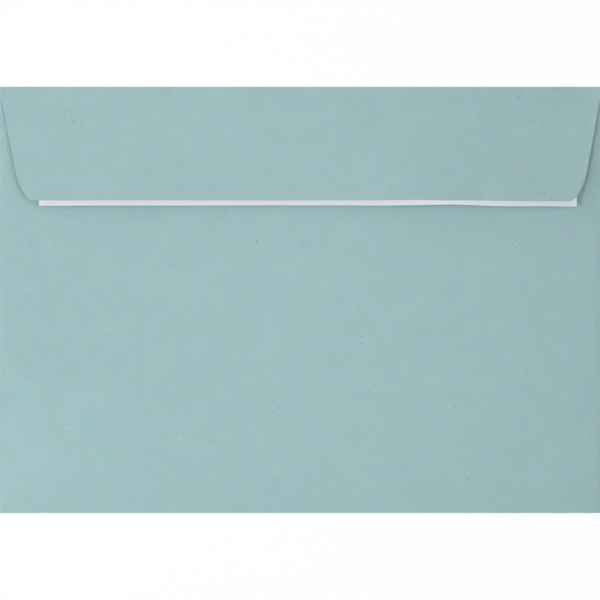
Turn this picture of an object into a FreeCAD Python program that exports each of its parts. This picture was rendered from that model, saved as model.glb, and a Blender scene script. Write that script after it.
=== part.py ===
import FreeCAD, Part
import math
import os
import Sketcher

# A C5 wallet envelope of dyed paper, unused, lying on its address side with the seal flap up.
# One die-cut blank is folded into the front panel, two side flaps, the back panel and the seal
# flap. A band of gum closes each side seam. The seal flap carries a band of adhesive, covered
# by a release liner whose lift edge passes the flap's free edge.
# Millimetres and degrees. X runs along the envelope, +Y towards the top fold, +Z up. The origin
# is the middle of the underside.

SIZES = {
    # The folded envelope
    "env_length": 229.0,  # over the two side folds
    "env_height": 162.0,  # from the bottom fold to the top fold
    "paper": 0.16,  # caliper of the dyed paper
    # Side flaps, tucked between the front and the back
    "side_bend": 0.12,  # inner radius of the side folds
    "side_reach": 20.0,  # from the side fold to the free edge
    "side_clear_low": 0.8,  # from the bottom fold to the side fold's end
    "side_clear_high": 1.5,  # from the top fold to the side fold's end
    "side_slant_low": 12.0,  # how far the lower end runs up on its way to the free edge
    "side_slant_high": 7.0,  # how far the upper end runs down on its way to the free edge
    "side_corner": 4.0,  # corner radius at the free edge
    # Gum in the side seams
    "gum_film": 0.04,  # thickness of the dried gum
    "gum_edge": 4.0,  # from the gum to each edge of the overlap that it joins
    # Back panel, folded up from the bottom
    "throat_depth": 25.0,  # from the top fold to the back panel's free edge
    "throat_corner": 6.0,  # corner radius at the throat
    "back_inset_low": 1.2,  # from the side fold to the back panel, at the bottom fold
    "back_inset_high": 2.4,  # the same at the throat
    # Seal flap, folded down from the top
    "flap_depth": 43.4,  # from the top fold to the free edge
    "flap_inset": 0.1,  # from the side fold to the flap's shoulder
    "flap_draw": 11.3,  # angle by which the flap's ends lean inwards
    "flap_cut_rise": 6.2,  # from the free edge up to the upper end of the corner cut
    "flap_cut_run": 2.8,  # from the square corner to the lower end of the corner cut
    "flap_end_round": 18.0,  # radius between the flap's end and the corner cut
    "flap_tip_round": 3.5,  # radius between the corner cut and the free edge
    "flap_gap": 0.04,  # air between the back panel and the flap at the fold
    "flap_spring": 4.0,  # angle by which the unsealed flap stands off the back panel
    # Adhesive under the seal flap
    "tack_film": 0.06,  # thickness
    "tack_width": 12.0,
    "tack_rise": 3.0,  # from the flap's free edge to the adhesive
    "tack_margin": 1.5,  # from the liner's ends to the adhesive's ends
    # Release liner over the adhesive
    "liner_film": 0.07,  # caliper of the coated liner paper
    "liner_width": 20.0,
    "liner_overhang": 2.0,  # how far the lift edge passes the flap's free edge
    "liner_left": 6.8,  # from the flap's square left corner to the liner's end
    "liner_right": 1.48,  # from the flap's square right corner to the liner's end
}

# Heights above the table of each layer's underside
SIDE_LEVEL = "(sheet.paper + 2 * sheet.side_bend)"
GUM_LEVEL = f"({SIDE_LEVEL} + sheet.paper)"
BACK_LEVEL = f"({GUM_LEVEL} + sheet.gum_film)"

# Inner and outer radii of the folds, as the layers between them need
SIDE_BEND = "sheet.side_bend"
SIDE_OUT = f"({SIDE_BEND} + sheet.paper)"
BACK_BEND = f"(({BACK_LEVEL} - sheet.paper) / 2)"
BACK_OUT = f"({BACK_BEND} + sheet.paper)"
FLAP_BEND = f"(({BACK_LEVEL} + sheet.flap_gap) / 2)"
FLAP_OUT = f"({FLAP_BEND} + sheet.paper)"

# Lines where the flat panels end and the folds begin, and the back panel's free edge
SIDE_LINE = f"(sheet.env_length / 2 - {SIDE_OUT})"
BOTTOM_LINE = f"(-sheet.env_height / 2 + {BACK_OUT})"
TOP_LINE = f"(sheet.env_height / 2 - {FLAP_OUT})"
THROAT_LINE = "(sheet.env_height / 2 - sheet.throat_depth)"

# Side flap on the +X side
SIDE_FREE = "(sheet.env_length / 2 - sheet.side_reach)"
SIDE_LOW = "(-sheet.env_height / 2 + sheet.side_clear_low)"
SIDE_HIGH = "(sheet.env_height / 2 - sheet.side_clear_high)"

# Half widths of the back panel and of the seal flap, at the fold and at the square corners of
# the free edge
BACK_LOW_HALF = "(sheet.env_length / 2 - sheet.back_inset_low)"
BACK_HIGH_HALF = "(sheet.env_length / 2 - sheet.back_inset_high)"
FLAP_RUN = f"(sheet.flap_depth - {FLAP_OUT})"
FLAP_HALF = "(sheet.env_length / 2 - sheet.flap_inset)"
FLAP_FREE_HALF = f"({FLAP_HALF} - {FLAP_RUN} * tan(sheet.flap_draw))"

# The same at the two ends of the seal flap's corner cut
CUT_HIGH_HALF = f"({FLAP_FREE_HALF} + sheet.flap_cut_rise * tan(sheet.flap_draw))"
CUT_LOW_HALF = f"({FLAP_FREE_HALF} - sheet.flap_cut_run)"

# The plane of the seal flap's inner face. Its Y is 0 where the top fold ends and -FLAP_RUN at
# the free edge.
FLAP_PLANE = {
    "Base.y": f"{TOP_LINE} + {FLAP_BEND} * sin(sheet.flap_spring)",
    "Base.z": f"{FLAP_OUT} + {FLAP_BEND} * cos(sheet.flap_spring)",
    "Rotation.Angle": "-sheet.flap_spring",
}

# The liner on that plane
LINER_START = f"(-{FLAP_FREE_HALF} + sheet.liner_left)"
LINER_STOP = f"({FLAP_FREE_HALF} - sheet.liner_right)"
LINER_LIFT_EDGE = f"(-{FLAP_RUN} - sheet.liner_overhang)"


def make_size_sheet(doc):
    """Puts each driving dimension into a cell of one sheet, under its alias."""
    sheet = doc.addObject("Spreadsheet::Sheet", "sheet")
    for row, (alias, value) in enumerate(SIZES.items(), start=1):
        cell = f"A{row}"
        sheet.set(cell, str(value))
        sheet.setAlias(cell, alias)
    doc.recompute()


def make_body(doc, label):
    """An empty body for one sub-part."""
    body = doc.addObject("PartDesign::Body", label)
    body.Label = label
    return body


def place(item, placement, formulas):
    """Ties parts of a placement, such as Base.z, to formulas. Any rotation is about X."""
    if "Rotation.Angle" in formulas:
        about_x = FreeCAD.Rotation(FreeCAD.Vector(1, 0, 0), 1)
        setattr(item, placement, FreeCAD.Placement(FreeCAD.Vector(), about_x))
    for part, formula in formulas.items():
        item.setExpression(f"{placement}.{part}", formula)


def origin_plane(body, role):
    """One of the body's own origin planes, such as XY_Plane."""
    return next(feature for feature in body.Origin.OriginFeatures if feature.Role == role)


def make_sketch(body, name, role, formulas):
    """A sketch on one of the body's origin planes, moved off it by formulas."""
    sketch = body.newObject("Sketcher::SketchObject", name)
    sketch.AttachmentSupport = [(origin_plane(body, role), "")]
    sketch.MapMode = "FlatFace"
    place(sketch, "AttachmentOffset", formulas)
    return sketch


def value_of(sketch, formula):
    return float(sketch.evalExpression(formula))


def dimension(sketch, name, kind, where, formula):
    """Adds a named dimension and ties it to a formula."""
    value = value_of(sketch, formula)
    index = sketch.addConstraint(Sketcher.Constraint(kind, *where, value))
    sketch.renameConstraint(index, name)
    sketch.setExpression(f".Constraints.{name}", formula)


def hold_point(sketch, name, geometry, end, x, y):
    """Holds one point of the sketch at two formulas, measured from the sketch's origin."""
    dimension(sketch, f"{name}_x", "DistanceX", (-1, 1, geometry, end), x)
    dimension(sketch, f"{name}_y", "DistanceY", (-1, 1, geometry, end), y)


def draw_rectangle(sketch, left, right, low, high):
    """A rectangle between four formulas."""
    x0, x1, y0, y1 = (value_of(sketch, formula) for formula in (left, right, low, high))
    corners = [FreeCAD.Vector(x, y) for x, y in ((x0, y0), (x1, y0), (x1, y1), (x0, y1))]
    for here, there in zip(corners, corners[1:] + corners[:1]):
        sketch.addGeometry(Part.LineSegment(here, there))
    for side in range(4):
        sketch.addConstraint(Sketcher.Constraint("Coincident", side, 2, (side + 1) % 4, 1))
        direction = "Vertical" if side % 2 else "Horizontal"
        sketch.addConstraint(Sketcher.Constraint(direction, side))
    hold_point(sketch, "low_left", 0, 1, left, low)
    hold_point(sketch, "high_right", 1, 2, right, high)


def rounded_corner(before, corner, after, radius):
    """The arc that rounds a corner, tangent to the lines to the points before and after it."""
    to_before = (before - corner).normalize()
    to_after = (after - corner).normalize()
    half_angle = to_before.getAngle(to_after) / 2
    inward = (to_before + to_after).normalize()
    reach = radius / math.tan(half_angle)
    middle = corner + inward * (radius / math.sin(half_angle) - radius)
    return Part.Arc(corner + to_before * reach, middle, corner + to_after * reach)


def draw_flap(sketch, root, corners):
    """The outline of a flap, counter-clockwise, with a straight root and rounded corners.

    root holds the (x, y) formulas of the root's start and end. corners holds those of the other
    corners, in order from the root's end, each with the radius of the arc that rounds it.
    """
    root_start, root_end = [FreeCAD.Vector(value_of(sketch, x), value_of(sketch, y)) for x, y in root]
    square = [FreeCAD.Vector(value_of(sketch, x), value_of(sketch, y)) for x, y, radius in corners]
    radii = [value_of(sketch, radius) for x, y, radius in corners]
    outline = [Part.LineSegment(root_start, root_end)]
    start = root_end
    for before, corner, after, radius in zip([root_end] + square, square, square[1:] + [root_start], radii):
        arc = rounded_corner(before, corner, after, radius)
        outline += [Part.LineSegment(start, arc.StartPoint), arc]
        start = arc.EndPoint
    outline.append(Part.LineSegment(start, root_start))
    root_line, first_line, last_line = 0, 1, len(outline) - 1
    sketch.addGeometry(outline)
    sketch.addConstraint(Sketcher.Constraint("Coincident", root_line, 2, first_line, 1))
    sketch.addConstraint(Sketcher.Constraint("Coincident", last_line, 2, root_line, 1))
    hold_point(sketch, "root_start", root_line, 1, *root[0])
    hold_point(sketch, "root_end", root_line, 2, *root[1])
    for number, (x, y, radius) in enumerate(corners, start=1):
        line, rounding, next_line = range(2 * number - 1, 2 * number + 2)
        point = sketch.addGeometry(Part.Point(square[number - 1]), True)
        joins = [
            ("Tangent", line, 2, rounding, 1),
            ("Tangent", rounding, 2, next_line, 1),
            ("PointOnObject", point, 1, line),
            ("PointOnObject", point, 1, next_line),
        ]
        for join in joins:
            sketch.addConstraint(Sketcher.Constraint(*join))
        hold_point(sketch, f"corner_{number}", point, 1, x, y)
        dimension(sketch, f"radius_{number}", "Radius", (rounding,), radius)


def pad(body, name, sketch, thickness, downwards=False):
    """Gives a sketch a thickness along its plane's normal, or against it."""
    feature = body.newObject("PartDesign::Pad", name)
    feature.Profile = sketch
    feature.setExpression("Length", thickness)
    feature.Reversed = downwards
    sketch.Visibility = False
    return feature


def fold(body, name, role, line, bend, start, end, angle, backwards):
    """Bends the front panel's edge up and over: its section, turned about the fold's axis.

    line is how far the fold's axis lies from the origin plane, along that plane's normal, and
    start and end are the fold's ends.
    """
    axis = {"Base.y": f"sheet.paper + {bend}", "Base.z": line}
    section = make_sketch(body, f"{name}_section", role, axis)
    draw_rectangle(section, start, end, f"-({bend} + sheet.paper)", f"-{bend}")
    feature = body.newObject("PartDesign::Revolution", name)
    feature.Profile = section
    feature.ReferenceAxis = (section, ["H_Axis"])
    feature.setExpression("Angle", angle)
    feature.Reversed = backwards
    section.Visibility = False
    return feature


def make_envelope_sheet(doc):
    """The folded blank, one piece of paper from the side flaps to the seal flap."""
    body = make_body(doc, "envelope_sheet")

    front = make_sketch(body, "front_outline", "XY_Plane", {})
    draw_rectangle(front, f"-{SIDE_LINE}", SIDE_LINE, BOTTOM_LINE, TOP_LINE)
    pad(body, "front_panel", front, "sheet.paper")

    side_fold = fold(body, "side_fold", "YZ_Plane", SIDE_LINE, SIDE_BEND, SIDE_LOW, SIDE_HIGH, "180", True)
    side = make_sketch(body, "side_outline", "XY_Plane", {"Base.z": SIDE_LEVEL})
    side_root = [(SIDE_LINE, SIDE_LOW), (SIDE_LINE, SIDE_HIGH)]
    side_corners = [
        (SIDE_FREE, f"{SIDE_HIGH} - sheet.side_slant_high", "sheet.side_corner"),
        (SIDE_FREE, f"{SIDE_LOW} + sheet.side_slant_low", "sheet.side_corner"),
    ]
    draw_flap(side, side_root, side_corners)
    side_flap = pad(body, "side_flap", side, "sheet.paper")
    mirrored = body.newObject("PartDesign::Mirrored", "other_side_flap")
    mirrored.Originals = [side_fold, side_flap]
    mirrored.MirrorPlane = (origin_plane(body, "YZ_Plane"), [""])
    body.Tip = mirrored

    fold(
        body, "bottom_fold", "XZ_Plane", f"-{BOTTOM_LINE}", BACK_BEND,
        f"-{BACK_LOW_HALF}", BACK_LOW_HALF, "180", True,
    )
    back = make_sketch(body, "back_outline", "XY_Plane", {"Base.z": BACK_LEVEL})
    back_root = [(f"-{BACK_LOW_HALF}", BOTTOM_LINE), (BACK_LOW_HALF, BOTTOM_LINE)]
    back_corners = [
        (BACK_HIGH_HALF, THROAT_LINE, "sheet.throat_corner"),
        (f"-{BACK_HIGH_HALF}", THROAT_LINE, "sheet.throat_corner"),
    ]
    draw_flap(back, back_root, back_corners)
    pad(body, "back_panel", back, "sheet.paper")

    fold(
        body, "top_fold", "XZ_Plane", f"-{TOP_LINE}", FLAP_BEND,
        f"-{FLAP_HALF}", FLAP_HALF, "180 - sheet.flap_spring", False,
    )
    seal = make_sketch(body, "seal_flap_outline", "XY_Plane", FLAP_PLANE)
    seal_root = [(FLAP_HALF, "0"), (f"-{FLAP_HALF}", "0")]
    seal_corners = [
        (f"-{CUT_HIGH_HALF}", f"-{FLAP_RUN} + sheet.flap_cut_rise", "sheet.flap_end_round"),
        (f"-{CUT_LOW_HALF}", f"-{FLAP_RUN}", "sheet.flap_tip_round"),
        (CUT_LOW_HALF, f"-{FLAP_RUN}", "sheet.flap_tip_round"),
        (CUT_HIGH_HALF, f"-{FLAP_RUN} + sheet.flap_cut_rise", "sheet.flap_end_round"),
    ]
    draw_flap(seal, seal_root, seal_corners)
    pad(body, "seal_flap", seal, "sheet.paper")
    return body


def make_seam_gum(doc, side, left, right):
    """The gum between a side flap and the back panel, between two formulas for its edges."""
    body = make_body(doc, f"side_seam_gum_{side}")
    band = make_sketch(body, f"gum_outline_{side}", "XY_Plane", {"Base.z": GUM_LEVEL})
    low = f"{SIDE_LOW} + sheet.side_slant_low + sheet.gum_edge"
    draw_rectangle(band, left, right, low, f"{THROAT_LINE} - sheet.gum_edge")
    pad(body, f"gum_{side}", band, "sheet.gum_film")
    return body


def make_flap_adhesive(doc):
    """The adhesive, on the seal flap's inner face."""
    body = make_body(doc, "flap_adhesive")
    band = make_sketch(body, "adhesive_outline", "XY_Plane", {})
    low = f"-{FLAP_RUN} + sheet.tack_rise"
    start = f"{LINER_START} + sheet.tack_margin"
    stop = f"{LINER_STOP} - sheet.tack_margin"
    draw_rectangle(band, start, stop, low, f"{low} + sheet.tack_width")
    pad(body, "adhesive", band, "sheet.tack_film", downwards=True)
    place(body, "Placement", FLAP_PLANE)
    return body


def make_release_liner(doc):
    """The liner, flat on the adhesive, with its lift edge past the flap's free edge."""
    body = make_body(doc, "release_liner")
    strip = make_sketch(body, "liner_outline", "XY_Plane", {"Base.z": "-sheet.tack_film"})
    high = f"{LINER_LIFT_EDGE} + sheet.liner_width"
    draw_rectangle(strip, LINER_START, LINER_STOP, LINER_LIFT_EDGE, high)
    pad(body, "liner", strip, "sheet.liner_film", downwards=True)
    place(body, "Placement", FLAP_PLANE)
    return body


def check_model(doc, bodies):
    """Stops the build if an object failed or a body isn't one valid solid."""
    for item in doc.Objects:
        if "Invalid" in item.State or "Error" in item.State:
            raise RuntimeError(f"{item.Label} failed: {item.State}")
    for body in bodies:
        shape = body.Shape
        if shape.isNull() or not shape.isValid() or len(shape.Solids) != 1:
            raise RuntimeError(f"{body.Label} isn't one valid solid")


def write_bodies(bodies):
    """Writes each body to a file of its own name."""
    os.makedirs("parts", exist_ok=True)
    for body in bodies:
        body.Shape.exportStep(f"parts/{body.Label}.step")
        size = body.Shape.BoundBox
        print(f"{body.Label}: {size.XLength:.2f} x {size.YLength:.2f} x {size.ZLength:.2f} mm")


doc = FreeCAD.newDocument("envelope")
make_size_sheet(doc)
gum_inner = f"({SIDE_FREE} + sheet.gum_edge)"
gum_outer = f"({BACK_HIGH_HALF} - sheet.gum_edge)"
bodies = [
    make_envelope_sheet(doc),
    make_seam_gum(doc, "left", f"-{gum_outer}", f"-{gum_inner}"),
    make_seam_gum(doc, "right", gum_inner, gum_outer),
    make_flap_adhesive(doc),
    make_release_liner(doc),
]
doc.recompute()
check_model(doc, bodies)
write_bodies(bodies)
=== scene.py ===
import math
import bmesh
import bpy
import numpy as np
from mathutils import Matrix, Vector


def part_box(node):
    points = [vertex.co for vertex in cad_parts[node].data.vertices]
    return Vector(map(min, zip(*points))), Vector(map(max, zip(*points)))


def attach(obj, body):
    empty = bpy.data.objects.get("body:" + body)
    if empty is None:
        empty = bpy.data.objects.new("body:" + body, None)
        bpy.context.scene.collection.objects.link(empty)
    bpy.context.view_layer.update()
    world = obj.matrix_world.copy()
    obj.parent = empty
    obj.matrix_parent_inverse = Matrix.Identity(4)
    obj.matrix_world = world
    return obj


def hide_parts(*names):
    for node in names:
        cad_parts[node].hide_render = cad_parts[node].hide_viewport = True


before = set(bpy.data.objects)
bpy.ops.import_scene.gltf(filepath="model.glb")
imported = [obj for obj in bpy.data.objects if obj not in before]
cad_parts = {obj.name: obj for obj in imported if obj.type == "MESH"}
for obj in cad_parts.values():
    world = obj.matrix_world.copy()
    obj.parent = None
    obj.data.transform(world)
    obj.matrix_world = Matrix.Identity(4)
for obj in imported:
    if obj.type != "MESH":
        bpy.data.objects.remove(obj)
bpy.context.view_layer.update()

# The folded sheet: one die-cut blank of dyed paper, creased by machine and folded over itself.
# Front panel, two side flaps, back panel and seal flap are one piece, so it is one surface
# through the middle of the paper, given the paper's thickness at the end.

mm = 0.001
sheet_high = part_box("envelope_sheet")[1]
half_length = sheet_high.x
half_height = sheet_high.y
paper = 0.16 * mm
gum_film = 0.04 * mm
side_bend = 0.12 * mm
side_reach = 20.0 * mm
side_clear_low = 0.8 * mm
side_clear_high = 1.5 * mm
side_slant_low = 12.0 * mm
side_slant_high = 7.0 * mm
side_corner = 4.0 * mm
throat_depth = 25.0 * mm
throat_corner = 6.0 * mm
back_inset_low = 1.2 * mm
back_inset_high = 2.4 * mm
back_flare = 1.5 * mm
flap_depth = 43.4 * mm
flap_inset = 0.2 * mm
flap_draw = math.radians(11.3)
flap_cut_rise = 6.3 * mm
flap_cut_run = 2.9 * mm
flap_end_round = 22.0 * mm
flap_tip_round = 3.5 * mm
flap_flare = 2.5 * mm
flap_gap = 0.04 * mm
flap_spring = math.radians(4.0)
corner_step = 0.2 * mm
corner_land = 0.1 * mm

# Soft paper strays from its true folds. The flap lies askew, bows, kicks up and waves, and the
# back panel puffs up at the sides and sags in the middle.
flap_askew = 0.1 * mm
flap_bow = 0.1 * mm
flap_bow_run = 32.0 * mm
flap_kick = 0.4 * mm
flap_kick_run = 8.0 * mm
flap_end_kick = 0.2 * mm
flap_lift_left = 1.9 * mm
flap_lift_right = 2.6 * mm
flap_lift_end = 0.3 * mm
flap_edge_drop = 0.12 * mm
flap_edge_run = 20.0 * mm
back_puff_left = 0.18 * mm
back_puff_right = 0.08 * mm
back_puff_run = 1.5 * mm
back_sag = 0.12 * mm

side_level = paper + 2 * side_bend
back_level = side_level + paper + gum_film
back_bend = (back_level - paper) / 2
flap_bend = (back_level + flap_gap) / 2
side_line = half_length - side_bend - paper
side_free = half_length - side_reach
side_low = -half_height + side_clear_low
side_high = half_height - side_clear_high
bottom_line = -half_height + back_bend + paper
top_line = half_height - flap_bend - paper
throat_line = half_height - throat_depth
back_low_half = half_length - back_inset_low
back_high_half = half_length - back_inset_high
flap_run = flap_depth - flap_bend - paper
flap_half = half_length - flap_inset
flap_free_half = flap_half - flap_run * math.tan(flap_draw)

fold_steps = 12
corner_steps = 14
flare_steps = 7
grid_step = 2.0 * mm
column_count = 125
same_point = 0.001 * mm
crease_angle = math.radians(40)


def smooth_step(value, start, stop):
    """0 before start, 1 after stop, and between them 3t^2 - 2t^3 of the share t of the way."""
    share = np.clip((value - start) / (stop - start), 0, 1)
    return share * share * (3 - 2 * share)


def hump(value, middle, reach):
    """A rounded hump of height 1: e to the power -t^2, with t the way from its middle in reaches."""
    return np.exp(-(((value - middle) / reach) ** 2))


def waves(x, y, shortest, longest, count, seed):
    """The sum of plane sine waves, scaled to a spread of about 1.

    Each wave has a random direction and phase, and a wavelength drawn between the two limits.
    """
    draw = np.random.default_rng(seed)
    direction = draw.uniform(0, 2 * np.pi, count)
    number = 2 * np.pi / draw.uniform(shortest, longest, count)
    phase = draw.uniform(0, 2 * np.pi, count)
    across = np.multiply.outer(x, number * np.cos(direction))
    along = np.multiply.outer(y, number * np.sin(direction))
    return np.sin(across + along + phase).sum(-1) / math.sqrt(count / 2)


def rounded_outline(corners, radii):
    """Half of a flap's outline, as rows of depth from the free edge and half width.

    corners runs from the free edge's middle to the root. At each inner corner an arc of its
    radius touches both sides: the spoke to where it starts, turned about the arc's centre. Long
    stretches are then divided evenly.
    """
    corners = np.array(corners)
    points = []
    for before, corner, after, radius in zip(corners, corners[1:], corners[2:], radii):
        to_before = (before - corner) / np.linalg.norm(before - corner)
        to_after = (after - corner) / np.linalg.norm(after - corner)
        inward = (to_before + to_after) / np.linalg.norm(to_before + to_after)
        half_angle = math.acos(to_before @ to_after) / 2
        centre = corner + inward * radius / math.sin(half_angle)
        spoke = corner + to_before * radius / math.tan(half_angle) - centre
        turn = np.linspace(0, math.pi - 2 * half_angle, corner_steps)[:, None]
        points.extend(centre + spoke * np.cos(turn) + spoke[::-1] * (1, -1) * np.sin(turn))
    points.append(corners[-1])
    rows = [points[0]]
    for here, there in zip(points, points[1:]):
        steps = max(1, math.ceil((there[0] - here[0]) / grid_step))
        rows.extend(here + (there - here) * step / steps for step in range(1, steps + 1))
    return np.array(rows)


def flared(outline, run):
    """The outline with rows added over that run, which flare out to the envelope's half length.

    The half width grows by the square of the share of the run.
    """
    share = np.linspace(0, 1, flare_steps)[1:]
    depth, half = outline[-1]
    rows = np.stack([depth + run * share, half + (half_length - half) * share**2], axis=1)
    return np.concatenate([outline, rows])


def back_relief(x, y):
    """How far the back panel and the side flaps stand above their true levels.

    They puff up beside the side folds, more so at the left one, by 1 minus e to the power -t, with
    t the way inwards in lengths of back_puff_run. Waves are held flat near the folds. The panel
    sags between the side flaps, where nothing lies under it.
    """
    inward = half_length - abs(x)
    upward = y + half_height
    right_share = (1 + x / half_length) / 2
    puffed = back_puff_left + (back_puff_right - back_puff_left) * right_share
    puff = puffed * (1 - np.exp(-np.maximum(inward - paper, 0) / back_puff_run))
    held = smooth_step(inward, 1 * mm, 9 * mm) * smooth_step(upward, 1 * mm, 9 * mm)
    swell = 0.07 * mm * waves(x, y, shortest=45 * mm, longest=120 * mm, count=9, seed=4)
    cockle = 0.012 * mm * waves(x, y, shortest=14 * mm, longest=30 * mm, count=16, seed=11)
    sag = back_sag * smooth_step(side_free - abs(x), 0.5 * mm, 11 * mm)
    return smooth_step(upward, 0, 3 * mm) * puff + held * (swell + cockle - sag)


def flap_relief(x, depth):
    """How far the seal flap stands off its true plane, at a depth from its free edge.

    The flap kicks up just below the fold, a little more towards its right end. Its free edge is
    lifted by a hump on the left, a taller one on the right and a low step at its right end, which
    all grow with the square of the way from the fold. Waves fade out near the fold.
    """
    from_fold = flap_run - depth
    way = np.clip(from_fold / flap_run, 0, None)
    end_kick = flap_end_kick * smooth_step(x, 80 * mm, 116 * mm)
    kick = (flap_kick + end_kick) * smooth_step(from_fold, 0, flap_kick_run)
    left = flap_lift_left * hump(x, -70 * mm, 23 * mm)
    right = flap_lift_right * hump(x, 51 * mm, 21 * mm)
    end = flap_lift_end * smooth_step(x, 70 * mm, 100 * mm)
    free = smooth_step(from_fold, 1 * mm, 14 * mm)
    swell = 0.05 * mm * waves(x, depth, shortest=40 * mm, longest=110 * mm, count=9, seed=23)
    cockle = 0.010 * mm * waves(x, depth, shortest=14 * mm, longest=30 * mm, count=16, seed=31)
    return kick + way**2 * (left + right + end) + free * (swell + cockle)


def flap_edge_shift(x):
    """How far the flap's free edge lies below its true line.

    It is one drop all along, with a hump in each half and three steps that add up to the right.
    """
    left = 0.2 * mm * hump(x, -75 * mm, 21 * mm)
    middle_step = 0.09 * mm * smooth_step(x, 12 * mm, 34 * mm)
    right = 0.24 * mm * hump(x, 55 * mm, 8 * mm)
    right_step = 0.12 * mm * smooth_step(x, 58 * mm, 69 * mm)
    end_step = 0.19 * mm * smooth_step(x, 73 * mm, 98 * mm)
    return flap_edge_drop + left + middle_step + right + right_step + end_step


def on_flap(x, depth, height):
    """Points at a depth from the flap's free edge and a height above the paper's middle.

    The depth is laid off along the flap's plane, which tilts by flap_spring about the end of the
    top fold, and the height and the relief along the plane's normal. The free edge's shift fades
    out over flap_edge_run.
    """
    shift = flap_edge_shift(x) * smooth_step(depth, flap_edge_run, 0)
    run = flap_run - depth + shift
    lift = height + flap_relief(x, depth) + flap_bend + paper / 2
    y = top_line - run * math.cos(flap_spring) + lift * math.sin(flap_spring)
    z = flap_bend + paper + run * math.sin(flap_spring) + lift * math.cos(flap_spring)
    return y, z


def main_strip():
    """Grids of x, y, z and of the place in the flat blank, from the seal flap to the throat.

    A row's points are u times its half width, with u from -1 to 1. Rows follow the strip's
    profile: the flap's plane, the top fold's arc, the front panel, the bottom fold's arc and the
    back panel. The flap's ends bow out by half a sine wave, and the flap lies a little askew. The
    front panel's rows end at the side folds, but for two at its head and two at its foot, which
    run out to the envelope's ends: corner_step above the side folds, and over corner_land. The
    place in the blank is x without the bow, and the length along the profile.
    """
    u = np.linspace(-1, 1, column_count)[None, :]
    cut_high = (flap_cut_rise, flap_free_half + flap_cut_rise * math.tan(flap_draw))
    cut_low = (0, flap_free_half - flap_cut_run)
    root_run = flap_run - flap_flare
    root = (root_run, flap_free_half + root_run * math.tan(flap_draw))
    flap_corners = [(0, 0), cut_low, cut_high, root]
    flap_rounds = [flap_tip_round, flap_end_round]
    flap_outline = flared(rounded_outline(flap_corners, flap_rounds), flap_flare)
    flap_rows = flap_outline[:, :1]
    from_fold = flap_run - flap_rows
    bowed = flap_bow * np.sin(np.minimum(from_fold / flap_bow_run, 1) * math.pi)
    aside = flap_askew * smooth_step(from_fold, 8 * mm, 30 * mm)
    flap_cut_x = u * flap_outline[:, 1:]
    flap_x = flap_cut_x + u * bowed + aside
    flap_y, flap_z = on_flap(flap_x, flap_rows, 0)

    top_radius = flap_bend + paper / 2
    top_turn = np.linspace(math.pi - flap_spring, 0, fold_steps)[1:-1, None]
    top_x = u * half_length * np.ones_like(top_turn)
    top_y = top_line + top_radius * np.sin(top_turn) + 0 * u
    top_z = flap_bend + paper - top_radius * np.cos(top_turn) + 0 * u
    top_length = top_radius * (math.pi - flap_spring)

    top_rows = [top_line, side_high + corner_step]
    bottom_rows = [bottom_line + corner_land, bottom_line]
    front_rows = np.concatenate([top_rows, side_rows[::-1], bottom_rows])[:, None]
    front_halves = np.full(front_rows.shape, side_line)
    front_halves[: len(top_rows)] = half_length
    front_halves[-len(bottom_rows) :] = half_length
    front_x = u * front_halves
    front_y = front_rows + 0 * u
    front_z = paper / 2 + 0 * front_x

    bottom_radius = back_bend + paper / 2
    bottom_turn = np.linspace(0, math.pi, fold_steps)[1:-1, None]
    bottom_x = u * half_length * np.ones_like(bottom_turn)
    bottom_y = bottom_line - bottom_radius * np.sin(bottom_turn) + 0 * u
    bottom_z = back_bend + paper - bottom_radius * np.cos(bottom_turn) + 0 * u
    bottom_length = bottom_radius * math.pi

    back_run = throat_line - bottom_line
    back_corners = [(0, 0), (0, back_high_half), (back_run - back_flare, back_low_half)]
    back_outline = flared(rounded_outline(back_corners, [throat_corner]), back_flare)[::-1]
    back_rows = back_outline[:, :1]
    back_x = u * back_outline[:, 1:]
    back_y = throat_line - back_rows + 0 * u
    back_z = back_level + paper / 2 + back_relief(back_x, back_y)

    x = np.concatenate([flap_x, top_x, front_x, bottom_x, back_x])
    y = np.concatenate([flap_y, top_y, front_y, bottom_y, back_y])
    z = np.concatenate([flap_z, top_z, front_z, bottom_z, back_z])
    front_start = flap_run + top_length
    bottom_start = front_start + top_line - bottom_line
    back_start = bottom_start + bottom_length
    along = np.concatenate([
        flap_rows,
        flap_run + top_radius * (math.pi - flap_spring - top_turn),
        front_start + top_line - front_rows,
        bottom_start + bottom_radius * bottom_turn,
        back_start + back_run - back_rows,
    ])
    across = np.concatenate([flap_cut_x, x[len(flap_cut_x):]])
    return x, y, z, across, along + 0 * x


def side_strip(side):
    """Grids of x, y, z and of the place in the blank, from the front panel's edge to the free edge.

    Columns follow the side fold's arc and then run inwards. Each column's points lie evenly
    between the flap's slanted ends.
    """
    radius = side_bend + paper / 2
    turn = np.linspace(0, math.pi, fold_steps)
    run = side_line - side_free
    low_corners = [(0, 0), (0, -side_low - side_slant_low), (run, -side_low)]
    high_corners = [(0, 0), (0, side_high - side_slant_high), (run, side_high)]
    low_end = rounded_outline(low_corners, [side_corner])
    high_end = rounded_outline(high_corners, [side_corner])
    depths = low_end[-2::-1, 0]
    column_x = np.concatenate([side_line + radius * np.sin(turn), side_free + depths])
    low = np.concatenate([np.full(fold_steps, side_low), -low_end[-2::-1, 1]])
    high = np.concatenate([np.full(fold_steps, side_high), np.interp(depths, *high_end.T)])
    share = ((side_rows - side_low) / (side_high - side_low))[:, None]
    y = low + share * (high - low)
    x = side * (column_x + 0 * share)
    arc_z = side_bend + paper - radius * np.cos(turn)
    z = np.concatenate([arc_z, np.full(len(depths), side_level + paper / 2)]) + 0 * x
    z[:, fold_steps:] += back_relief(x, y)[:, fold_steps:]
    outwards = np.concatenate([radius * turn, radius * math.pi + run - depths])
    front_start = flap_run + (flap_bend + paper / 2) * (math.pi - flap_spring)
    return x, y, z, side * (side_line + outwards) + 0 * x, front_start + top_line - y


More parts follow.
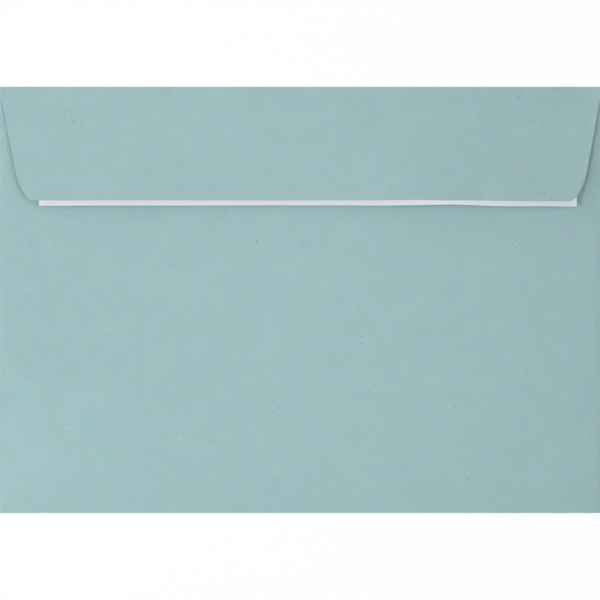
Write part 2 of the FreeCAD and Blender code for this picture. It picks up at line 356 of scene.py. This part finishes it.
def grid_mesh(name, *grids):
    """One mesh from grids of x, y, z and two lengths in the flat blank, kept as its UV map.

    Each grid of points becomes quads between neighbouring rows and columns. Points of different
    grids that coincide are then merged, and the faces turned to agree.
    """
    points, flats, quads = [], [], []
    first = 0
    for x, y, z, across, along in grids:
        points.append(np.stack([x, y, z], -1).reshape(-1, 3))
        flats.append(np.stack([across, along], -1).reshape(-1, 2))
        number = first + np.arange(x.size).reshape(x.shape)
        corners = [number[:-1, :-1], number[:-1, 1:], number[1:, 1:], number[1:, :-1]]
        quads.append(np.stack(corners, -1).reshape(-1, 4))
        first += x.size
    mesh = bpy.data.meshes.new(name)
    mesh.from_pydata(np.concatenate(points), [], np.concatenate(quads))
    layer = mesh.uv_layers.new(name="blank")
    order = np.empty(len(mesh.loops), int)
    mesh.loops.foreach_get("vertex_index", order)
    layer.data.foreach_set("uv", np.concatenate(flats)[order].ravel())
    shape = bmesh.new()
    shape.from_mesh(mesh)
    bmesh.ops.remove_doubles(shape, verts=shape.verts, dist=same_point)
    bmesh.ops.recalc_face_normals(shape, faces=shape.faces)
    shape.to_mesh(mesh)
    shape.free()
    return mesh


def thin_piece(name, mesh, thickness, material):
    """A piece with half its thickness on each side of the mesh, sharp cut edges and smooth folds."""
    piece = bpy.data.objects.new(name, mesh)
    bpy.context.collection.objects.link(piece)
    solidify = piece.modifiers.new("thickness", "SOLIDIFY")
    solidify.thickness = thickness
    solidify.offset = 0
    solidify.use_even_offset = True
    bpy.context.view_layer.update()
    evaluated = piece.evaluated_get(bpy.context.evaluated_depsgraph_get())
    solid = bpy.data.meshes.new_from_object(evaluated)
    piece.modifiers.clear()
    piece.data = solid
    solid.name = name
    solid.shade_smooth()
    solid.set_sharp_from_angle(angle=crease_angle)
    solid.materials.clear()
    solid.materials.append(material)
    return piece


class Shade:
    """A value in a material's node tree. Arithmetic on it adds Math nodes."""

    def __init__(self, tree, socket=None):
        self.tree = tree
        self.socket = socket

    def node(self, kind, inputs=None, output=0, **settings):
        """Adds a node of that kind, sets it up, then fills or links its inputs."""
        made = self.tree.nodes.new(kind)
        for setting, value in settings.items():
            setattr(made, setting, value)
        for key, value in (inputs or {}).items():
            if isinstance(value, Shade):
                self.tree.links.new(value.socket, made.inputs[key])
            else:
                made.inputs[key].default_value = value
        return Shade(self.tree, made.outputs[output])

    def other(self, output):
        """Another output of the same node."""
        return Shade(self.tree, self.socket.node.outputs[output])

    def maths(self, operation, *values):
        return self.node("ShaderNodeMath", dict(enumerate(values)), operation=operation)

    def __add__(self, other):
        return self.maths("ADD", self, other)

    def __sub__(self, other):
        return self.maths("SUBTRACT", self, other)

    def __rsub__(self, other):
        return self.maths("SUBTRACT", other, self)

    def __mul__(self, other):
        return self.maths("MULTIPLY", self, other)

    def __abs__(self):
        return self.maths("ABSOLUTE", self)

    __radd__ = __add__
    __rmul__ = __mul__

    def clamped(self):
        return self.node("ShaderNodeClamp", {"Value": self})

    def rise(self, start, stop):
        """0 at start, 1 at stop and the share of the way between them, clamped beyond both."""
        return ((self - start) * (1 / (stop - start))).clamped()

    def tint(self, start, stop):
        """The colour this share of the way from start to stop."""
        return self.node("ShaderNodeMix", {0: self, 6: start, 7: stop}, output=2, data_type="RGBA")


def display_colour(red, green, blue):
    """The linear colour that shows as these 0 to 255 values, by the sRGB curve."""
    shown = np.array([red, green, blue]) / 255
    linear = np.where(shown > 0.04045, ((shown + 0.055) / 1.055) ** 2.4, shown / 12.92)
    return (*linear.tolist(), 1.0)


def new_material(name):
    """A material, and the place in the flat blank that its nodes are built from."""
    material = bpy.data.materials.new(name)
    material.use_nodes = True
    return material, Shade(material.node_tree).node("ShaderNodeUVMap", uv_map="blank")


def set_surface(material, colour, rough, hills=None, hill_height=0, specular=0.5):
    """Links a colour and a roughness to the surface shader, and hills of that height as a bump."""
    links = material.node_tree.links
    inputs = material.node_tree.nodes["Principled BSDF"].inputs
    inputs["Specular IOR Level"].default_value = specular
    links.new(colour.socket, inputs["Base Color"])
    links.new(rough.socket, inputs["Roughness"])
    if hills is not None:
        relief = {"Strength": 1.0, "Distance": hill_height, "Height": hills}
        links.new(hills.node("ShaderNodeBump", relief).socket, inputs["Normal"])


def cloud(place, size, detail, seed):
    """Soft noise about 0 with blotches of that size, from about -0.5 to 0.5."""
    noise = place.node(
        "ShaderNodeTexNoise",
        {"Vector": place, "W": seed, "Scale": 1 / size, "Detail": detail, "Roughness": 0.6},
        noise_dimensions="4D",
    )
    return noise - 0.5


def fibres(place, cell, length, width, share, seed):
    """Short bowed fibres, at most one in each Voronoi cell: 1 along the middle, 0 outside.

    A point's offset from its cell's middle is turned by the cell's own random angle, and bowed
    by up to a quarter of the length. The fibre fades to 0 at half its width and half its length.
    Only that share of the cells holds one, each with its own strength from 0.3 to 1.
    """
    moved = place.node("ShaderNodeVectorMath", {0: place, 1: (seed, seed / 3, 0)}, operation="ADD")
    middle = place.node(
        "ShaderNodeTexVoronoi",
        {"Vector": moved, "Scale": 1 / cell, "Randomness": 0.85},
        output="Position",
        voronoi_dimensions="2D",
    )
    luck = place.node("ShaderNodeSeparateColor", {0: middle.other("Color")})
    offset = place.node("ShaderNodeVectorMath", {0: moved, 1: middle}, operation="SUBTRACT")
    part = place.node("ShaderNodeSeparateXYZ", {0: offset})
    angle = luck * (2 * math.pi)
    cosine = angle.maths("COSINE", angle)
    sine = angle.maths("SINE", angle)
    along = part * cosine + part.other("Y") * sine
    bow = (luck.other("Blue") - 0.5) * (2 / length)
    across = part.other("Y") * cosine - part * sine + along * along * bow
    body = (1 - abs(across) * (2 / width)).clamped()
    ends = ((1 - abs(along) * (2 / length)) * 2).clamped()
    shown = luck.maths("LESS_THAN", luck.other("Green"), share)
    return body * ends * shown * (luck.other("Blue") * 0.7 + 0.3)


def dyed_paper():
    """Duck-egg blue paper, dyed through.

    Its tone runs from deep to light with a cloudy formation, a slow drift and fine flocs, and its
    hue leans to grey or violet in patches. Fibres, strokes and specks are strewn over it. The seal
    flap carries painted highlights along its two cut ends and in a soft patch at its right end.
    """
    material, place = new_material("dyed_paper")
    formation = cloud(place, size=7.0 * mm, detail=3.0, seed=1.0)
    floc = cloud(place, size=1.3 * mm, detail=1.5, seed=5.0)
    drift = cloud(place, size=17.0 * mm, detail=1.0, seed=23.0)
    warmth = (0.5 + cloud(place, size=9.0 * mm, detail=3.5, seed=12.0) * 2.6).clamped()
    violet = (0.5 + cloud(place, size=8.0 * mm, detail=3.5, seed=17.0) * 2.6).clamped()
    tone = (0.5 + formation * 1.45 + drift * 0.7 + floc * 0.6).clamped()
    deep = warmth.tint(display_colour(150, 187, 185), display_colour(155, 184, 184))
    light = warmth.tint(display_colour(160, 196, 195), display_colour(165, 193, 193))
    colour = tone.tint(deep, light)
    colour = (violet * 0.3).tint(colour, display_colour(158, 186, 207))

    pale_fibre = fibres(place, 5.0 * mm, 3.0 * mm, 0.5 * mm, share=0.4, seed=0.57)
    dark_fibre = fibres(place, 3.4 * mm, 2.0 * mm, 0.5 * mm, share=0.4, seed=0.13)
    dark_stroke = fibres(place, 6.5 * mm, 1.8 * mm, 0.65 * mm, share=0.08, seed=0.71)
    pale_stroke = fibres(place, 6.3 * mm, 1.5 * mm, 0.65 * mm, share=0.05, seed=0.47)
    dark_speck = fibres(place, 9.0 * mm, 0.7 * mm, 0.5 * mm, share=0.06, seed=0.91)
    pale_speck = fibres(place, 11.0 * mm, 0.7 * mm, 0.5 * mm, share=0.05, seed=0.33)
    strewn = [
        (pale_fibre, 0.6, display_colour(171, 203, 206)),
        (dark_fibre, 0.5, display_colour(146, 178, 181)),
        (dark_stroke, 0.8, display_colour(136, 166, 170)),
        (pale_stroke, 0.8, display_colour(182, 212, 214)),
        (dark_speck, 1.3, display_colour(70, 88, 94)),
        (pale_speck, 1.3, display_colour(222, 236, 238)),
    ]
    for marks, strength, marks_colour in strewn:
        colour = (marks * strength).clamped().tint(colour, marks_colour)

    # Painted highlights on the seal flap: a pale rim along its cut ends and a pale patch at its right
    # end.
    across = place.node("ShaderNodeSeparateXYZ", {0: place})
    depth = across.other("Y")
    from_cut = flap_free_half + depth * math.tan(flap_draw) - abs(across)
    cut_end_highlight = from_cut.rise(0.45 * mm, 0) * depth.rise(3 * mm, 7 * mm)
    right_end = across.rise(98 * mm, 112 * mm)
    painted_highlight = (cut_end_highlight * 0.5 + right_end * 0.26) * depth.maths("LESS_THAN", depth, flap_run)
    colour = painted_highlight.tint(colour, display_colour(176, 206, 209))
    rough = 0.86 + formation * 0.1
    hills = floc + (pale_fibre - dark_fibre) * 0.5
    set_surface(material, colour, rough, hills, hill_height=0.003 * mm, specular=0.25)
    return material


side_rows = np.linspace(side_low, side_high, round((side_high - side_low) / grid_step) + 1)
sheet_mesh = grid_mesh("folded_sheet", main_strip(), side_strip(1), side_strip(-1))
folded_sheet = thin_piece("folded_sheet", sheet_mesh, paper, dyed_paper())
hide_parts("envelope_sheet")
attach(folded_sheet, "root")

# The seam gum: a thin dried film between each side flap and the back panel. It is rolled on by
# the machine before the back panel is folded up, and it follows both papers.

gum_edge = 4.0 * mm
gum_columns = 7
gum_inner = side_free + gum_edge
gum_outer = back_high_half - gum_edge
gum_low = side_low + side_slant_low + gum_edge
gum_high = throat_line - gum_edge


def gum_grid(side):
    """A flat band between the gum's four edges, raised to the gum's level and the relief."""
    across = np.linspace(gum_inner, gum_outer, gum_columns)
    along = np.linspace(gum_low, gum_high, round((gum_high - gum_low) / grid_step) + 1)
    x, y = np.meshgrid(side * across, along)
    z = side_level + paper + gum_film / 2 + back_relief(x, y)
    return x, y, z, x, y


def dried_gum():
    """A dull, straw-coloured film with small dry patches."""
    material, place = new_material("dried_gum")
    patches = (0.5 + cloud(place, size=2.0 * mm, detail=3.0, seed=9.0) * 1.6).clamped()
    colour = patches.tint(display_colour(214, 205, 176), display_colour(228, 221, 196))
    set_surface(material, colour, 0.45 + patches * 0.25)
    return material


gum_material = dried_gum()
for side, side_name in ((-1, "left"), (1, "right")):
    gum_mesh = grid_mesh(f"seam_gum_{side_name}", gum_grid(side))
    gum = thin_piece(f"seam_gum_{side_name}", gum_mesh, gum_film, gum_material)
    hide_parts(f"side_seam_gum_{side_name}")
    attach(gum, "root")

# The flap adhesive: a band of clear tacky adhesive, coated onto the seal flap's inner face.
# It stays under the liner until the envelope is sealed.

tack_film = 0.06 * mm
tack_width = 12.0 * mm
tack_rise = 3.0 * mm
tack_margin = 1.5 * mm
tack_grid_step = 1.5 * mm
tack_row_step = 1.0 * mm
liner_trim = 0.15 * mm
liner_low, liner_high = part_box("release_liner")
liner_start = liner_low.x + liner_trim
liner_stop = liner_high.x - liner_trim


def flap_band(start, stop, low, high, height):
    """A band on the seal flap between two ends and two depths from the free edge."""
    across = np.linspace(start, stop, round((stop - start) / tack_grid_step) + 1)
    depths = np.linspace(low, high, round((high - low) / tack_row_step) + 1)
    x, depth = np.meshgrid(across, depths)
    y, z = on_flap(x, depth, height)
    return x, y, z, x, depth


def clear_tack():
    """A glossy, faintly yellow film with fine streaks from the coating."""
    material, place = new_material("clear_tack")
    stretched = place.node("ShaderNodeVectorMath", {0: place, 1: (0.05, 1, 1)}, operation="MULTIPLY")
    streaks = (0.5 + cloud(stretched, size=0.8 * mm, detail=2.0, seed=3.0) * 1.5).clamped()
    colour = streaks.tint(display_colour(224, 220, 200), display_colour(236, 233, 216))
    set_surface(material, colour, 0.18 + streaks * 0.15)
    return material


tack_grid = flap_band(
    liner_start + tack_margin,
    liner_stop - tack_margin,
    tack_rise,
    tack_rise + tack_width,
    -(paper + tack_film) / 2,
)
tack = thin_piece("adhesive_band", grid_mesh("adhesive_band", tack_grid), tack_film, clear_tack())
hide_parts("flap_adhesive")
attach(tack, "root")

# The release liner: a strip of white coated paper over the adhesive, slit by knife from a roll.
# Its lift edge passes the flap's free edge by about 2 mm, so that a thumb can peel it off.

liner_film = 0.07 * mm
liner_width = 20.0 * mm
liner_overhang = 2.0 * mm
liner_edge_rise = 0.04 * mm
liner_grid_step = 0.8 * mm
liner_row_count = 24


def liner_grid():
    """The liner between its ends, from the lift edge to its hidden edge.

    The lift edge is cut unevenly. From a slight rise it drops by a hump in the left half and one
    right of the centre, and by steps towards the left end, the right end and its tip.
    """
    column_steps = round((liner_stop - liner_start) / liner_grid_step)
    across = np.linspace(liner_start, liner_stop, column_steps + 1)
    left_end = 0.14 * mm * smooth_step(across, -62 * mm, -90 * mm)
    left = 0.29 * mm * hump(across, -64 * mm, 24 * mm)
    middle = 0.27 * mm * hump(across, 37 * mm, 17 * mm)
    right_end = 0.38 * mm * smooth_step(across, 56 * mm, 75 * mm)
    tip = 0.1 * mm * smooth_step(across, 88 * mm, 102 * mm)
    drop = left_end + left + middle + right_end + tip - liner_edge_rise
    overhang = liner_overhang + drop - flap_edge_shift(across)
    shares = np.linspace(0, 1, liner_row_count)[:, None]
    depth = -overhang + shares * (liner_width - liner_overhang + overhang)
    x = across + 0 * depth
    y, z = on_flap(x, depth, -(paper / 2 + tack_film + liner_film / 2))
    return x, y, z, x, depth


def release_paper():
    """Smooth white paper with a faint sheen and a trace of its fibres.

    Painted highlights whiten it along the lift edge and in a patch right of the centre. It is duller
    towards the right end, and faintly green at both cut ends.
    """
    material, place = new_material("release_paper")
    formation = cloud(place, size=3.0 * mm, detail=3.0, seed=2.0)
    fibre = fibres(place, 1.6 * mm, 1.4 * mm, 0.2 * mm, share=0.6, seed=0.77)
    across = place.node("ShaderNodeSeparateXYZ", {0: place})
    depth = across.other("Y")
    # Painted highlights: a whiter lip along the lift edge and a whiter patch right of the centre.
    painted_lip_highlight = depth.rise(0.45 * mm - liner_overhang, 0.25 * mm - liner_overhang)
    left_end = across.rise(liner_start + 1.8 * mm, liner_start)
    right_end = across.rise(liner_stop - 2.2 * mm, liner_stop)
    painted_patch_highlight = abs(across - 54 * mm).rise(27 * mm, 0)
    dull = across.rise(72 * mm, 84 * mm)
    tone = (0.5 + formation * 1.3).clamped()
    colour = tone.tint(display_colour(210, 212, 217), display_colour(218, 220, 226))
    colour = (dull * 0.6).tint(colour, display_colour(206, 215, 219))
    colour = (painted_patch_highlight * 0.75).tint(colour, display_colour(233, 234, 235))
    colour = (fibre * 0.3).tint(colour, display_colour(196, 198, 205))
    colour = painted_lip_highlight.tint(colour, display_colour(230, 235, 241))
    colour = ((left_end + right_end) * 0.8).tint(colour, display_colour(211, 238, 236))
    set_surface(material, colour, 0.42 + formation * 0.2, formation + fibre, hill_height=0.002 * mm)
    return material


liner = thin_piece("liner_strip", grid_mesh("liner_strip", liner_grid()), liner_film, release_paper())
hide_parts("release_liner")
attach(liner, "root")

# The table: a plain white surface just under the envelope. The camera sees it lit up to white,
# with a trace of the envelope's shadow. The world beyond it is white too.

table_half = 3.0
table_drop = 0.03 * mm
table_glow = 0.94
table_mesh = bpy.data.meshes.new("table")
table_corners = [(-1, -1), (1, -1), (1, 1), (-1, 1)]
table_places = [(x * table_half, y * table_half, -table_drop) for x, y in table_corners]
table_mesh.from_pydata(table_places, [], [(0, 1, 2, 3)])
table = bpy.data.objects.new("table", table_mesh)
bpy.context.collection.objects.link(table)


def seen_rays(tree):
    """1 for rays that show the surroundings: camera, glossy and transmission rays."""
    path = Shade(tree).node("ShaderNodeLightPath", output="Is Camera Ray")
    return (path + path.other("Is Glossy Ray") + path.other("Is Transmission Ray")).clamped()


table_material = bpy.data.materials.new("table_white")
table_material.use_nodes = True
table_tree = table_material.node_tree
table_seen = seen_rays(table_tree)
table_shader = table_tree.nodes["Principled BSDF"]
table_shader.inputs["Base Color"].default_value = (0.9, 0.9, 0.9, 1.0)
table_shader.inputs["Roughness"].default_value = 0.9
table_matte = Shade(table_tree, table_shader.outputs["BSDF"])
table_white = table_seen.node("ShaderNodeEmission", {"Color": (1.0, 1.0, 1.0, 1.0), "Strength": 1.0})
table_mix = {0: table_seen * table_glow, 1: table_matte, 2: table_white}
table_surface = table_seen.node("ShaderNodeMixShader", table_mix)
table_tree.links.new(table_surface.socket, table_tree.nodes["Material Output"].inputs["Surface"])
table_mesh.materials.append(table_material)

world_light = 0.41
world = bpy.data.worlds.new("studio")
bpy.context.scene.world = world
world.use_nodes = True
world_tree = world.node_tree
world_strength = world_light + seen_rays(world_tree) * (1 - world_light)
background = world_tree.nodes["Background"]
background.inputs["Color"].default_value = (1.0, 1.0, 1.0, 1.0)
world_tree.links.new(world_strength.socket, background.inputs["Strength"])

# The lamps: four square panels with a grid that narrows the beam. The high left one gives the
# right-hand edges thin dark shadows, and the low left one wider, fainter ones. The large one on
# the right shades the left-hand edges, and the small one brightens the near left corner.


def soft_panel(name, place, aim, size, spread, power):
    """A square lamp at a place, turned towards its aim: size in metres, spread in degrees."""
    data = bpy.data.lights.new(name, "AREA")
    data.shape = "SQUARE"
    data.size = size
    data.spread = math.radians(spread)
    data.energy = power
    lamp = bpy.data.objects.new(name, data)
    bpy.context.collection.objects.link(lamp)
    lamp.location = place
    lamp.rotation_euler = (lamp.location - Vector(aim)).to_track_quat("Z", "Y").to_euler()
    return lamp


soft_panel(
    "high_left_panel",
    place=(-0.584, -0.113, 0.761),
    aim=(-0.107, 0.006, 0.0),
    size=0.434,
    spread=22.3,
    power=0.227,
)
soft_panel(
    "low_left_panel",
    place=(-1.272, 0.0, 0.795),
    aim=(-0.05, 0.0, 0.0),
    size=0.225,
    spread=80.0,
    power=0.631,
)
soft_panel(
    "right_panel",
    place=(0.971, 0.0, 1.682),
    aim=(0.0, 0.0, 0.0),
    size=0.777,
    spread=87.8,
    power=2.036,
)
soft_panel(
    "corner_panel",
    place=(-0.143, -0.036, 0.09),
    aim=(-0.105, -0.07, 0.0),
    size=0.03,
    spread=60.0,
    power=0.00089,
)

# The camera looks straight down on the flap side. Its frame is a millimetre narrower than the
# envelope and set a little to the left, so the right-hand edge is cut off, as in the photo.

view_width = 228.06 * mm
view_middle_x = -0.32 * mm
view_middle_y = -0.02 * mm
camera_data = bpy.data.cameras.new("camera")
camera_data.lens = 100.0
camera_data.sensor_width = 36.0
camera_data.clip_start = 0.01
camera = bpy.data.objects.new("camera", camera_data)
bpy.context.collection.objects.link(camera)
camera_height = view_width * camera_data.lens / camera_data.sensor_width
camera.location = (view_middle_x, view_middle_y, camera_height + back_level)
bpy.context.scene.camera = camera
bpy.context.scene.view_settings.view_transform = "Standard"
